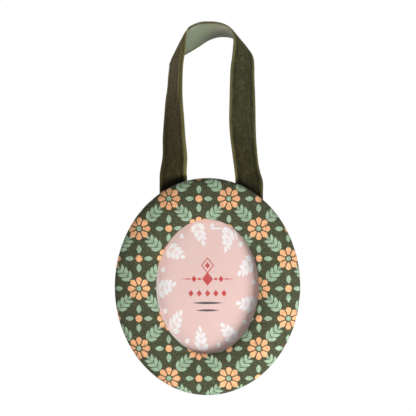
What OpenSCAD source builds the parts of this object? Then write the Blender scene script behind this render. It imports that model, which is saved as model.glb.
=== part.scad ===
// Oval picture frame with a padded cloth border, hung from a loop of velvet ribbon.
// It hangs upright: X is its width, Z its height, and its front faces -Y.
// The origin is the middle of the oval on the flat back.
// Each piece is drawn lying on its back, then stood up, so below "up" runs towards
// the ribbon and "out" is the distance from the flat back towards the front.

/* [Frame] */
// Width of the oval over its cloth
frame_w = 85; // [78:1:120]
// Height of the oval over its cloth
frame_h = 99.5; // [90:0.5:140]
// Width of the padded border round the opening
border_w = 19; // [16:0.5:23]
// How far the padding rises from its edges to the crown of the border
crown_h = 3; // [1:0.2:8]
// Thickness of the padding where the cloth pulls it down at its edges
pad_edge_t = 0.6; // [0.3:0.1:3]
// Squareness of the padding's section: 2 is a plain arch, more is flatter with rounder shoulders
pad_fullness = 2.6; // [2:0.1:4]

/* [Boards] */
// Thickness of the front board
front_board_t = 2; // [1:0.5:4]
// Thickness of the back board
back_board_t = 2; // [1:0.5:4]
// How far the back stands in from the edge of the front, all round
back_inset = 1.5; // [0.5:0.1:3]

/* [Cloth] */
// Thickness of the cloth
cloth_t = 0.35; // [0.2:0.05:0.6]
// Radius of the cloth where it turns round the back edge of the front board
cloth_bend_r = 0.6; // [0.2:0.1:0.8]
// Width of the cloth turned over at an outer edge
outer_turn_in = 8; // [5:0.5:9]
// Width of the cloth turned over at the opening
inner_turn_in = 6; // [4:0.5:6.5]

/* [Picture pocket] */
// Thickness of the spacer that holds front and back apart
spacer_t = 1.4; // [1.1:0.1:3]
// How far the spacer stands in from the edge of the back
spacer_inset = 0.7; // [0.2:0.1:2]
// How far the window reaches behind the border
window_lap = 3; // [1.5:0.5:5]
// Thickness of the window
window_t = 0.4; // [0.2:0.1:0.6]
// How far the card reaches behind the border
card_lap = 2.4; // [1:0.2:4]
// Thickness of the card
card_t = 0.3; // [0.1:0.1:0.5]
// Play between the pocket's walls and what lies in it
pocket_play = 0.5; // [0.2:0.1:1.5]

/* [Ribbon] */
// Width of the ribbon
ribbon_w = 12.7; // [6:0.1:16]
// Thickness of the ribbon over its pile
ribbon_t = 0.9; // [0.4:0.1:1.1]
// Height of the loop's top edge above the frame
loop_h = 72; // [60:1:140]
// Distance between the two strands where they leave the frame, middle to middle
loop_w = 34.8; // [28:0.2:40]
// Thickness of the glue between the ribbon's tails and the cloth
glue_t = 0.05; // [0.02:0.01:0.2]

/* [Hidden] */

// Flat sides that stand for the oval on the padded front
oval_sides = 72;
// Steps in the padding's arch
arch_steps = 12;
// Steps in the cloth's bend round a board's edge
bend_steps = 2;
// Rings in the ribbon between two of its chosen places
ribbon_steps = 3;
// Bevel on the ribbon's selvedges
selvedge = 0.3;
// Length added to a cutting shape so that it passes the face that it cuts
through = 1;
// Smoothness of the true ovals
$fn = 96;

// Levels, as distances out from the flat back
back_t = back_board_t + 2 * cloth_t;
front_back = back_t + spacer_t;
front_board_back = front_back + cloth_t;
front_board_front = front_board_back + front_board_t;
arch_foot = front_board_front + pad_edge_t;
window_back = front_back - window_t;
card_back = window_back - card_t;

// Insets from the frame's edge, all round: the back, and what lies behind the opening
back_board_inset = back_inset + cloth_t;
window_inset = border_w - window_lap;
card_inset = border_w - card_lap;

// The ribbon's tails are glued to the back of the front, and end just above the window. Each row
// has a share of loop_w from the middle of the frame, and a share of tail_l below its top edge.
// The loop hangs a little to the right.
left_tail = [[-0.45, 1.00], [-0.45, 0.50], [-0.45, 0.07]];
right_tail = [[0.55, 0.13], [0.55, 0.50], [0.55, 1.00]];
tail_out = front_back - glue_t - ribbon_t / 2;
tail_l = window_inset - pocket_play;

// Half sizes of the pocket: it takes the window, and is wide enough for the ribbon's tails
pocket_half = [
    max(frame_w / 2 - window_inset, right_tail[0][0] * loop_w + ribbon_w / 2) + pocket_play,
    frame_h / 2 - tail_l
];

// Height of the bent top of the loop; below it the strands run fairly straight
bow_h = 36;
strand_h = loop_h - bow_h;

// The ribbon's places, from the left tail up, over and down to the right tail. Each row has
// the middle of the ribbon, then the direction and length across it from its back edge to its
// front edge, in ribbon widths. It lies flat at the tails, twists as it rises, and stands on
// its edge over the top, so the length across is over 1 where it bends on the skew.
// Left strand: share of loop_w from the middle, share of strand_h above the frame, share of
// ribbon_w out from the tails, across
left_strand = [
    [-0.45, 0.08, 0.02, [0.96, 0.00, 0.27]],
    [-0.43, 0.28, 0.05, [0.88, 0.00, 0.47]],
    [-0.44, 0.51, 0.09, [0.81, 0.00, 0.58]],
    [-0.44, 0.76, 0.12, [0.71, 0.00, 0.70]],
    [-0.44, 1.00, 0.14, [0.60, 0.03, 0.80]]
];
// Top of the loop: the same, but with the share of bow_h below the loop's top edge
bow = [
    [-0.43, 0.83, 0.17, [0.53, 0.15, 0.84]],
    [-0.42, 0.64, 0.18, [0.52, 0.36, 0.86]],
    [-0.40, 0.49, 0.17, [0.56, 0.63, 0.84]],
    [-0.39, 0.38, 0.16, [0.58, 0.88, 0.81]],
    [-0.36, 0.30, 0.14, [0.54, 1.07, 0.82]],
    [-0.28, 0.26, 0.14, [0.50, 1.16, 0.66]],
    [-0.17, 0.21, 0.16, [0.45, 1.08, 0.66]],
    [-0.05, 0.17, 0.18, [0.39, 0.87, 0.78]],
    [0.07, 0.13, 0.20, [0.26, 0.60, 0.83]],
    [0.19, 0.12, 0.20, [0.09, 0.42, 0.90]],
    [0.31, 0.15, 0.21, [-0.13, 0.35, 0.94]],
    [0.40, 0.22, 0.21, [-0.36, 0.38, 0.93]],
    [0.45, 0.31, 0.21, [-0.58, 0.39, 0.88]],
    [0.47, 0.40, 0.20, [-0.72, 0.35, 0.75]],
    [0.47, 0.52, 0.18, [-0.80, 0.27, 0.62]],
    [0.46, 0.67, 0.15, [-0.86, 0.18, 0.50]]
];
// Right strand: as the left one
right_strand = [
    [0.46, 0.95, 0.12, [-0.93, 0.06, 0.39]],
    [0.46, 0.72, 0.10, [-0.95, 0.00, 0.31]],
    [0.47, 0.52, 0.09, [-0.93, 0.00, 0.35]],
    [0.49, 0.33, 0.06, [-0.90, 0.00, 0.43]],
    [0.51, 0.17, 0.04, [-0.89, 0.00, 0.45]],
    [0.53, 0.06, 0.02, [-0.93, 0.02, 0.34]]
];

function strand_place(row) = [
    [row[0] * loop_w, frame_h / 2 + row[1] * strand_h, tail_out + row[2] * ribbon_w], row[3]
];
function bow_place(row) = [
    [row[0] * loop_w, frame_h / 2 + loop_h - row[1] * bow_h, tail_out + row[2] * ribbon_w], row[3]
];
function tail_place(row, side) =
    [[row[0] * loop_w, frame_h / 2 - row[1] * tail_l, tail_out], [side, 0, 0]];

ribbon_places = concat(
    [for (row = left_tail) tail_place(row, 1)],
    [for (row = left_strand) strand_place(row)],
    [for (row = bow) bow_place(row)],
    [for (row = right_strand) strand_place(row)],
    [for (row = right_tail) tail_place(row, -1)]
);

// Shapes that repeat

// Stands a piece up from lying on its back, and lifts it to its distance from the back
module stand(out = 0) rotate([90, 0, 0]) translate([0, 0, out]) children();

// True oval, from its half sizes
module oval(half) scale([half.x, half.y]) circle(r = 1);

// The frame's true outline, taken in by a distance all round
module outline(inset) oval([frame_w / 2 - inset, frame_h / 2 - inset]);

// Plate with the outline given: a slab trimmed to it, so that both its faces are true planes
module plate(t) intersection() {
    translate([-frame_w, -frame_h]) cube([2 * frame_w, 2 * frame_h, t]);
    translate([0, 0, -through]) linear_extrude(t + 2 * through) children();
}

// Point on the frame's outline, taken in by a distance
function outline_point(inset, angle) =
    [(frame_w / 2 - inset) * cos(angle), (frame_h / 2 - inset) * sin(angle)];

// The same outline as flat sides, which the padded front is made with
function outline_points(inset) =
    [for (k = [0:oval_sides - 1]) outline_point(inset, 360 * k / oval_sides)];

// Arch of the padding over the border, raised or reaching further by the cloth on it:
// rows of inset from the frame's edge and distance out
function arch(cloth) = [
    for (k = [0:arch_steps])
        let (
            angle = 180 * k / arch_steps,
            along = sign(cos(angle)) * pow(abs(cos(angle)), 2 / pad_fullness),
            rise = pow(max(sin(angle), 0), 2 / pad_fullness),
            half = border_w / 2 - cloth_t + cloth
        )
        [border_w / 2 - half * along, arch_foot + (crown_h + cloth) * rise]
];

// Quarter bend about a middle, from one angle through 90 degrees
function bend(middle, r, from) = [
    for (k = [0:bend_steps])
        let (angle = from - 90 * k / bend_steps)
        middle + r * [cos(angle), sin(angle)]
];

// Swept solids: rings of points joined by triangles, each ring listed the same way round
function ring_sides(a, b, count) = [
    for (k = [0:count - 1])
        let (next = (k + 1) % count)
        each [[a + k, b + next, a + next], [a + k, b + k, b + next]]
];

// Closed band round the frame with a section of [inset, out] rows
module border_band(section) {
    count = len(section);
    points = [
        for (k = [0:oval_sides - 1], row = section)
            let (place = outline_point(row[0], 360 * k / oval_sides))
            [place.x, place.y, row[1]]
    ];
    faces = [
        for (k = [0:oval_sides - 1])
            each ring_sides(k * count, ((k + 1) % oval_sides) * count, count)
    ];
    polyhedron(points, faces);
}

// Strip from ring to ring, closed at both ends
module strip(rings) {
    count = len(rings[0]);
    last = (len(rings) - 1) * count;
    points = [for (ring = rings, point = ring) point];
    faces = concat(
        [for (k = [0:len(rings) - 2]) each ring_sides(k * count, (k + 1) * count, count)],
        [[for (k = [0:count - 1]) k], [for (k = [count - 1:-1:0]) last + k]]
    );
    polyhedron(points, faces);
}

// Smooth curve through four places, at a share of the way from the second to the third
function smooth(a, b, c, d, t) =
    0.5 * (2 * b + (c - a) * t + (2 * a - 5 * b + 4 * c - d) * t * t
        + (3 * b - a - 3 * c + d) * t * t * t);

function unit(v) = v / norm(v);

// Ribbon's chosen place, the first and last ones standing in for those beyond the ends
function ribbon_place(k) = ribbon_places[max(0, min(len(ribbon_places) - 1, k))];

// Middle of the ribbon, or the direction across it, between its place k and the next
function ribbon_between(part, k, t) = smooth(
    ribbon_place(k - 1)[part], ribbon_place(k)[part],
    ribbon_place(k + 1)[part], ribbon_place(k + 2)[part], t
);

// Pieces
cloth_colour = [0.30, 0.33, 0.24];
board_colour = [0.62, 0.58, 0.52];

// Cloth pulled over the back board and turned over onto its front
module back_cover() color(cloth_colour) stand() difference() {
    plate(back_t) outline(back_inset);
    translate([0, 0, cloth_t]) plate(back_board_t) outline(back_board_inset);
    translate([0, 0, cloth_t + back_board_t / 2]) plate(back_t) outline(back_inset + outer_turn_in);
}

module back_board() color(board_colour)
    stand(cloth_t) plate(back_board_t) outline(back_board_inset);

// U that leaves a pocket for the card, open at the top
module pocket_spacer() color(board_colour) stand(back_t) plate(spacer_t) difference() {
    outline(back_inset + spacer_inset);
    oval(pocket_half);
    translate([-pocket_half.x, 0]) square([2 * pocket_half.x, frame_h]);
}

module insert_card() color([0.93, 0.81, 0.79]) stand(card_back) plate(card_t) outline(card_inset);

module window() color([0.85, 0.9, 0.92, 0.3]) stand(window_back) plate(window_t) outline(window_inset);

module front_board() color(board_colour) stand(front_board_back)
    linear_extrude(front_board_t) difference() {
        polygon(outline_points(cloth_t));
        polygon(outline_points(border_w - cloth_t));
    }

// Wadding, highest in the middle of the border and pulled thin at its edges
module front_padding() color([0.94, 0.93, 0.9]) stand() border_band(concat(
    arch(0),
    [[border_w - cloth_t, front_board_front], [cloth_t, front_board_front]]
));

// Cloth over the padding, turned over onto the back of the board at the outer edge and at the
// opening. Its section runs over the outside, then back along the inside.
module front_cover() color(cloth_colour) {
    bend_out = front_back + cloth_bend_r;
    outside = concat(
        [[outer_turn_in, front_back]],
        bend([cloth_bend_r, bend_out], cloth_bend_r, 270),
        arch(cloth_t),
        bend([border_w - cloth_bend_r, bend_out], cloth_bend_r, 0),
        [[border_w - inner_turn_in, front_back]]
    );
    inside = concat(
        [[border_w - inner_turn_in, front_board_back], [border_w - cloth_t, front_board_back]],
        [for (k = [arch_steps:-1:0]) arch(0)[k]],
        [[cloth_t, front_board_back], [outer_turn_in, front_board_back]]
    );
    stand() border_band(concat(outside, inside));
}

// One length of ribbon: flat tails behind the front, a loop between them
module ribbon() color([0.27, 0.27, 0.19]) {
    path = [
        for (k = [0:len(ribbon_places) - 2], step = [0:ribbon_steps - 1])
            let (t = step / ribbon_steps)
            [ribbon_between(0, k, t), ribbon_between(1, k, t)],
        ribbon_place(len(ribbon_places) - 1)
    ];
    last = len(path) - 1;
    half_t = ribbon_t / 2;
    flat = 1 - selvedge / (ribbon_w / 2);
    stand() strip([
        for (k = [0:last])
            let (
                middle = path[k][0],
                across = path[k][1] * ribbon_w / 2,
                along = path[min(last, k + 1)][0] - path[max(0, k - 1)][0],
                outward = unit(cross(along, across))
            )
            [
                middle + across,
                middle + across * flat + outward * half_t,
                middle - across * flat + outward * half_t,
                middle - across,
                middle - across * flat - outward * half_t,
                middle + across * flat - outward * half_t
            ]
    ]);
}

back_cover();
back_board();
pocket_spacer();
insert_card();
window();
front_board();
front_padding();
front_cover();
ribbon();
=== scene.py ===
"""Looks of an oval picture frame ornament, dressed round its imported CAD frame.

The frame hangs upright: X is its width, Z its height, and its front faces -Y. As in the CAD
source, "inset" is how far a point stands in from the oval's edge and "out" is its distance from
the flat back towards the front. Sections and prints are in millimetres, meshes in metres.
"""

import logging
import math
from dataclasses import dataclass
from enum import Enum
from typing import Callable, Mapping, Optional, Sequence, Union

import bpy
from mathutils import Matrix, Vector, noise


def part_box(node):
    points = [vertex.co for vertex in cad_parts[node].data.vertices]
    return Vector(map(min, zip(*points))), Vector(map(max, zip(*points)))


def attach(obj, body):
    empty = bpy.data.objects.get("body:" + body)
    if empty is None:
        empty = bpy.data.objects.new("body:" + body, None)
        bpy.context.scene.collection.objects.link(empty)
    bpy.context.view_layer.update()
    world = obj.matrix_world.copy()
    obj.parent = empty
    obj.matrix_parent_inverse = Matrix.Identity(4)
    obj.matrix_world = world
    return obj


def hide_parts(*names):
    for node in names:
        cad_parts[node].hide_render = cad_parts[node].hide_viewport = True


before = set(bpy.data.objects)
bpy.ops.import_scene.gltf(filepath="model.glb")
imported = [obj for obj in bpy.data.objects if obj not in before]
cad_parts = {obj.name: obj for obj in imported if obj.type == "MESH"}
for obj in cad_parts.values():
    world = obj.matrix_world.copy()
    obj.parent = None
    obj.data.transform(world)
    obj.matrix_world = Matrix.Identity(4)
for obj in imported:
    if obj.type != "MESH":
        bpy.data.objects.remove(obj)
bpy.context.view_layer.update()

MM = 0.001
# Sides that stand for an oval, where its edge is seen and where it is hidden
FINE_SIDES = 288
PLAIN_SIDES = 192
LOG = logging.getLogger("picture_frame")

Pair = tuple[float, float]
Triple = tuple[float, float, float]
Place = tuple[float, float, float, Triple]
Colour = tuple[float, float, float, float]
Ramp = tuple[float, float, float, float]
Operand = Union["Value", float]


class Slot(Enum):
    """Material slots of the record."""

    PRINTED_COTTON = "printed_cloth"
    BACK_COTTON = "back_cloth"
    VELVET = "velvet"
    WADDING = "wadding"
    GREYBOARD = "greyboard"
    CARD = "card"
    WINDOW = "window"


class Hold(Enum):
    """How a sheet of cloth is held."""

    STRETCHED = "stretched"
    HUNG = "hung"


class Op(Enum):
    """Math nodes that the prints and weaves use."""

    ADD = "ADD"
    SUBTRACT = "SUBTRACT"
    MULTIPLY = "MULTIPLY"
    DIVIDE = "DIVIDE"
    POWER = "POWER"
    ABSOLUTE = "ABSOLUTE"
    MINIMUM = "MINIMUM"
    MAXIMUM = "MAXIMUM"
    GREATER = "GREATER_THAN"
    SINE = "SINE"
    COSINE = "COSINE"
    ANGLE = "ARCTAN2"
    FRACTION = "FRACT"
    FLOOR = "FLOOR"
    ROOT = "SQRT"


def paint(red: int, green: int, blue: int) -> Colour:
    """Turns a colour as it looks on a screen into the linear light that shaders take.

    Args:
        red, green, blue: Screen values from 0 to 255.

    Returns:
        The colour as linear red, green, blue and a full alpha.
    """

    def linear(value: int) -> float:
        """One channel in linear light."""
        share = value / 255
        return share / 12.92 if share <= 0.04045 else ((share + 0.055) / 1.055) ** 2.4

    return linear(red), linear(green), linear(blue), 1.0


WHITE: Colour = paint(255, 255, 255)


class Value:
    """A number that varies over a surface. Python's operators on it add Math nodes."""

    def __init__(self, tree: "Tree", socket: bpy.types.NodeSocket) -> None:
        """Keeps the socket and the tree that it is in."""
        self.tree = tree
        self.socket = socket

    def __add__(self, other: Operand) -> "Value":
        """Sum."""
        return self.tree.math(Op.ADD, self, other)

    def __radd__(self, other: Operand) -> "Value":
        """Sum, with the number first."""
        return self.tree.math(Op.ADD, other, self)

    def __sub__(self, other: Operand) -> "Value":
        """Difference."""
        return self.tree.math(Op.SUBTRACT, self, other)

    def __rsub__(self, other: Operand) -> "Value":
        """Difference, with the number first."""
        return self.tree.math(Op.SUBTRACT, other, self)

    def __mul__(self, other: Operand) -> "Value":
        """Product."""
        return self.tree.math(Op.MULTIPLY, self, other)

    def __rmul__(self, other: Operand) -> "Value":
        """Product, with the number first."""
        return self.tree.math(Op.MULTIPLY, other, self)

    def __truediv__(self, other: Operand) -> "Value":
        """Quotient."""
        return self.tree.math(Op.DIVIDE, self, other)

    def __pow__(self, other: Operand) -> "Value":
        """Power."""
        return self.tree.math(Op.POWER, self, other)

    def __gt__(self, other: Operand) -> "Value":
        """1 where this is more than the other, else 0."""
        return self.tree.math(Op.GREATER, self, other)

    def __abs__(self) -> "Value":
        """Size without sign."""
        return self.tree.math(Op.ABSOLUTE, self)


class Tree:
    """The nodes of one material or world."""

    def __init__(self, owner: Union[bpy.types.Material, bpy.types.World]) -> None:
        """Starts the owner's node tree afresh.

        Args:
            owner: The material or world.
        """
        owner.use_nodes = True
        self.owner = owner
        self.nodes = owner.node_tree.nodes
        self.links = owner.node_tree.links
        self.nodes.clear()

    @classmethod
    def of(cls, name: str) -> "Tree":
        """Starts a new material of that name."""
        return cls(bpy.data.materials.new(name))

    def add(
        self,
        kind: str,
        settings: Optional[Mapping[str, object]] = None,
        sockets: Optional[Mapping[Union[int, str], object]] = None,
    ) -> bpy.types.Node:
        """Adds any node.

        Args:
            kind: The node's type, as Blender names it.
            settings: Its settings, set before its sockets.
            sockets: A value, a Value or another node's socket for each of its inputs.

        Returns:
            The node.
        """
        node = self.nodes.new(kind)
        for name, setting in (settings or {}).items():
            setattr(node, name, setting)
        for key, given in (sockets or {}).items():
            if isinstance(given, Value):
                given = given.socket
            if isinstance(given, bpy.types.NodeSocket):
                self.links.new(given, node.inputs[key])
            else:
                node.inputs[key].default_value = given
        return node

    def math(self, operation: Op, *operands: Operand) -> Value:
        """Adds a Math node on one to three operands and returns its result."""
        settings = {"operation": operation.value}
        return Value(self, self.add("ShaderNodeMath", settings, dict(enumerate(operands))).outputs[0])

    def least(self, first: Value, *others: Operand) -> Value:
        """The smallest of several values.

        Args:
            first: The first value.
            others: The other values or numbers.

        Returns:
            The smallest.
        """
        for other in others:
            first = self.math(Op.MINIMUM, first, other)
        return first

    def most(self, first: Value, *others: Operand) -> Value:
        """The largest of several values.

        Args:
            first: The first value.
            others: The other values or numbers.

        Returns:
            The largest.
        """
        for other in others:
            first = self.math(Op.MAXIMUM, first, other)
        return first

    def radius(self, x: Value, y: Value) -> Value:
        """Distance of a point from the origin."""
        return self.math(Op.ROOT, x * x + y * y)

    def ramp(self, value: Value, low: float, high: float, start: float = 0.0, end: float = 1.0) -> Value:
        """Maps a value from one range to another, eased and held at both ends.

        Args:
            value: What is mapped.
            low, high: The range that it is mapped from.
            start, end: The range that it is mapped to.

        Returns:
            The mapped value.
        """
        sockets = {"Value": value, "From Min": low, "From Max": high, "To Min": start, "To Max": end}
        settings = {"interpolation_type": "SMOOTHSTEP"}
        return Value(self, self.add("ShaderNodeMapRange", settings, sockets).outputs[0])

    def inside(self, distance: Value, soft: float = 0.12) -> Value:
        """1 where a distance from a shape's edge is negative, 0 outside, eased over the edge."""
        return self.ramp(distance, -soft, soft, 1.0, 0.0)

    def blend(self, first: object, second: object, share: Operand) -> bpy.types.NodeSocket:
        """Mixes two colours and returns the colour's socket; at a share of 1 it is the second."""
        sockets = {0: share, 6: first, 7: second}
        return self.add("ShaderNodeMix", {"data_type": "RGBA"}, sockets).outputs[2]

    def dim(self, colour: object, factor: Value) -> bpy.types.NodeSocket:
        """Scales a colour's brightness by a factor.

        Args:
            colour: The colour, or the socket that gives it.
            factor: The factor.

        Returns:
            The scaled colour's socket.
        """
        given = colour[:3] if isinstance(colour, tuple) else colour
        settings = {"operation": "SCALE"}
        return self.add("ShaderNodeVectorMath", settings, {0: given, "Scale": factor}).outputs[0]

    def flat(self) -> tuple[Value, Value]:
        """A cloth's own flat coordinates, in millimetres."""
        return self._split(self.add("ShaderNodeTexCoord").outputs["UV"])[:2]

    def place(self) -> tuple[Value, Value, Value]:
        """A point's place on the object, in millimetres."""
        x, y, z = self._split(self.add("ShaderNodeTexCoord").outputs["Object"])
        return x / MM, y / MM, z / MM

    def _split(self, vector: bpy.types.NodeSocket) -> tuple[Value, Value, Value]:
        """The three numbers of a vector."""
        node = self.add("ShaderNodeSeparateXYZ", None, {0: vector})
        return tuple(Value(self, socket) for socket in node.outputs)

    def cloudy(self, u: Value, v: Operand, w: Operand = 0.0, detail: float = 2.0) -> Value:
        """Smooth noise from 0 to 1, whose clouds are about 1 across in the coordinates given.

        Args:
            u, v, w: The coordinates.
            detail: How fine it gets.

        Returns:
            The noise.
        """
        vector = self.add("ShaderNodeCombineXYZ", None, {0: u, 1: v, 2: w}).outputs[0]
        sockets = {"Vector": vector, "Scale": 1.0, "Detail": detail}
        return Value(self, self.add("ShaderNodeTexNoise", None, sockets).outputs[0])

    def lumpy(self, size: Triple, detail: float = 2.0) -> Value:
        """Smooth noise from 0 to 1 through a solid, by the size of its lumps in millimetres."""
        return self.cloudy(*(at / length for at, length in zip(self.place(), size)), detail)

    def bump(self, height: Value, depth: float, strength: float = 1.0) -> bpy.types.NodeSocket:
        """Turns a height from 0 to 1 into a bump of a depth in millimetres."""
        sockets = {"Strength": strength, "Distance": depth * MM, "Height": height}
        return self.add("ShaderNodeBump", None, sockets).outputs[0]

    def principled(self, sockets: Mapping[str, object]) -> bpy.types.Node:
        """Adds the main shader with its sockets set."""
        return self.add("ShaderNodeBsdfPrincipled", None, sockets)

    def mix(self, first: bpy.types.Node, second: bpy.types.Node, share: Value) -> bpy.types.Material:
        """Finishes the material with a mix of two shaders; at a share of 1 it is the second."""
        sockets = {0: share, 1: first.outputs[0], 2: second.outputs[0]}
        return self.finish(self.add("ShaderNodeMixShader", None, sockets))

    def finish(self, surface: bpy.types.Node) -> bpy.types.Material:
        """Joins a shader to the material's output and returns the material."""
        self.add("ShaderNodeOutputMaterial", None, {"Surface": surface.outputs[0]})
        return self.owner

    def coat(self, sockets: Mapping[str, object]) -> bpy.types.Material:
        """Finishes the material with the main shader alone, with its sockets set."""
        return self.finish(self.principled(sockets))


@dataclass(frozen=True)
class Clouds:
    """Smooth noise on a piece, by how far its clouds reach across and along, in millimetres.

    The slice picks one of many patterns, and the detail says how fine it gets.
    """

    across: float
    along: float
    slice: float = 0.0
    detail: float = 2.0

    def over(self, tree: Tree, u: Value, v: Value) -> Value:
        """The noise at each point, from 0 to 1."""
        return tree.cloudy(u / self.across, v / self.along, self.slice, self.detail)


@dataclass(frozen=True)
class Spindle:
    """A mark that is pointed at both ends, such as a leaf, a rule or a painted glint.

    It has a foot, a direction in degrees, a length and a width.
    """

    foot: Pair
    angle: float
    length: float
    width: float

    def distance(self, x: Value, y: Value) -> Value:
        """Distance to the mark's edge, negative inside it.

        Args:
            x, y: Coordinates on the cloth, card or film, in millimetres.

        Returns:
            The distance, in millimetres.
        """
        turn = math.radians(self.angle)
        cos, sin = math.cos(turn), math.sin(turn)
        along = x * cos + y * sin - (self.foot[0] * cos + self.foot[1] * sin)
        across = y * cos - x * sin - (self.foot[1] * cos - self.foot[0] * sin)
        middle = along * (2 / self.length) - 1
        return abs(across) - (1 - middle * middle) * (self.width / 2)


@dataclass(frozen=True)
class Lozenge:
    """An upright lozenge on a card, with a twin as far on the other side of the middle line."""

    aside: float
    height: float
    size: float
    slope: float = 0.8

    def distance(self, x: Value, z: Value) -> Value:
        """Distance to the nearer lozenge's edge, negative inside it, in millimetres."""
        return abs(abs(x) - self.aside) + abs(z - self.height) * self.slope - self.size


@dataclass(frozen=True)
class Weave:
    """A plain weave, by the distance from thread to thread.

    No thread is spun evenly, so each gets lighter and darker along its length. Slubs are the thick
    and thin places of a few threads.
    """

    pitch: float
    spun_length: float = 5.0
    unevenness: float = 1.6
    neighbours_apart: float = 0.71
    weft_slice: float = 7.0
    slubs: Clouds = Clouds(0.85, 0.75, 11.0, 3.0)
    wear: Clouds = Clouds(9.0, 9.0, 3.0)

    def crossings(self, tree: Tree, u: Value, v: Value) -> Value:
        """Product of two waves, positive where the warp is on top and negative where the weft is."""
        turn = math.pi / self.pitch
        return tree.math(Op.SINE, u * turn) * tree.math(Op.SINE, v * turn)

    def threads(self, tree: Tree, u: Value, v: Value) -> Value:
        """Uneven brightness from thread to thread, about 1.

        Args:
            tree: The material's nodes.
            u, v: Coordinates on the flat cloth, in millimetres.

        Returns:
            The factor.
        """
        column, row = (tree.math(Op.FLOOR, at / self.pitch) * self.neighbours_apart for at in (u, v))
        warp = tree.cloudy(column, v / self.spun_length)
        weft = tree.cloudy(u / self.spun_length, row, self.weft_slice)
        on_top = self.crossings(tree, u, v) > 0.0
        return 1 - self.unevenness / 2 + self.unevenness * (on_top * warp + (1 - on_top) * weft)

    def flecks(self, tree: Tree, u: Value, v: Value, strength: Operand) -> Value:
        """Brightness about 1 that wavers in slubs of a few threads and in wide soft clouds.

        Args:
            tree: The material's nodes.
            u, v: Coordinates on the flat cloth, in millimetres.
            strength: How much the slubs show.

        Returns:
            The factor.
        """
        slubs = self.slubs.over(tree, u, v) - 0.5
        return (0.9 + 0.2 * self.wear.over(tree, u, v)) * (1 + slubs * strength)


@dataclass(frozen=True)
class FolkPrint:
    """A generic folk print: petalled rosettes on a lattice turned 45 degrees, joined by sprigs.

    The lattice's cells are squares. A rosette stands on each corner, a leafy sprig on each side,
    and a dot with four leaves in each middle.
    """

    cell: float = 19.4
    shift: Pair = (3.4, -2.2)
    petal_root: float = 1.7
    petal_waist: float = 3.2
    petal_tip: float = 5.2
    petal_gap: float = 0.26
    petal_roundness: float = 0.55
    eye: float = 1.1
    dot: float = 1.55
    stem: float = 0.42
    stem_reach: float = 3.6
    leaves: tuple[Spindle, ...] = (
        Spindle((-4.2, 0.1), 38.0, 4.4, 1.75),
        Spindle((-1.6, 0.1), 38.0, 4.2, 1.7),
        Spindle((1.0, 0.1), 38.0, 3.6, 1.5),
        Spindle((2.9, 0.0), 0.0, 2.4, 1.2),
    )
    middle_leaf: Spindle = Spindle((2.3, 0.0), 0.0, 4.0, 2.2)

    def masks(self, tree: Tree, u: Value, v: Value) -> tuple[Value, Value]:
        """Where the leaves and the petals are printed.

        Args:
            tree: The material's nodes.
            u, v: Coordinates on the flat cloth, in millimetres.

        Returns:
            The share of leaf colour and the share of petal colour, from 0 to 1.
        """
        half = self.cell / 2
        corner = math.sqrt(0.5)
        first, second = (
            tree.math(Op.FRACTION, turned * (corner / self.cell) + shift / self.cell)
            for turned, shift in zip((u + v, v - u), self.shift)
        )
        x, y = (first - 0.5) * self.cell, (second - 0.5) * self.cell
        from_upright, from_level = half - abs(x), half - abs(y)
        rosette, eye = self._rosette(tree, from_upright, from_level)
        level = from_upright > from_level
        along = y + level * (x - y)
        across = tree.least(from_upright, from_level)
        sprig = [leaf.distance(along, across) for leaf in self.leaves]
        stem = tree.most(across - self.stem / 2, abs(along) - self.stem_reach)
        diagonals = (abs(x) + abs(y)) * corner, (abs(x) - abs(y)) * corner
        middle = self.middle_leaf.distance(*diagonals)
        dot = tree.radius(x, y) - self.dot
        return (
            tree.inside(tree.least(stem, middle, eye, *sprig)),
            tree.inside(tree.least(rosette, dot)),
        )

    def _rosette(self, tree: Tree, x: Value, y: Value) -> tuple[Value, Value]:
        """Distances to the edges of a rosette's eight petals and of its eye.

        Args:
            tree: The material's nodes.
            x, y: Coordinates from the rosette's middle, in millimetres.

        Returns:
            Both distances in millimetres, negative inside.
        """
        radius = tree.radius(x, y)
        petals = abs(tree.math(Op.COSINE, tree.math(Op.ANGLE, y, x) * 4))
        edge = self.petal_waist + petals**self.petal_roundness * (self.petal_tip - self.petal_waist)
        gap = self.petal_gap - radius * petals / 4
        return tree.most(radius - edge, gap, self.petal_root - radius), radius - self.eye


@dataclass(frozen=True)
class Cotton:
    """Plain-woven cotton, plain or printed on its ground."""

    ground: Colour
    weave: Weave = Weave(0.4)
    slubs: float = 1.6
    thread_depth: float = 0.07

    def woven(self, tree: Tree, colour: object, slubs: Operand) -> bpy.types.Material:
        """Finishes a material as woven cloth.

        Args:
            tree: The material's nodes.
            colour: The cloth's colour, plain or printed.
            slubs: How much the thick and thin places of its threads show.

        Returns:
            The material.
        """
        u, v = tree.flat()
        light = self.weave.flecks(tree, u, v, slubs) * self.weave.threads(tree, u, v)
        height = abs(self.weave.crossings(tree, u, v)) ** 0.5
        return tree.coat(
            {
                "Base Color": tree.dim(colour, light),
                "Roughness": 0.88,
                "Specular IOR Level": 0.25,
                "Sheen Weight": 0.06,
                "Sheen Roughness": 0.5,
                "Normal": tree.bump(height, self.thread_depth, 0.7),
            }
        )


@dataclass(frozen=True)
class PlainCotton(Cotton):
    """Plain-woven cotton in one colour, for the back."""

    ground: Colour = paint(82, 86, 62)

    def material(self) -> bpy.types.Material:
        """Makes the finish."""
        return self.woven(Tree.of("plain_cotton"), self.ground, self.slubs)


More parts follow.
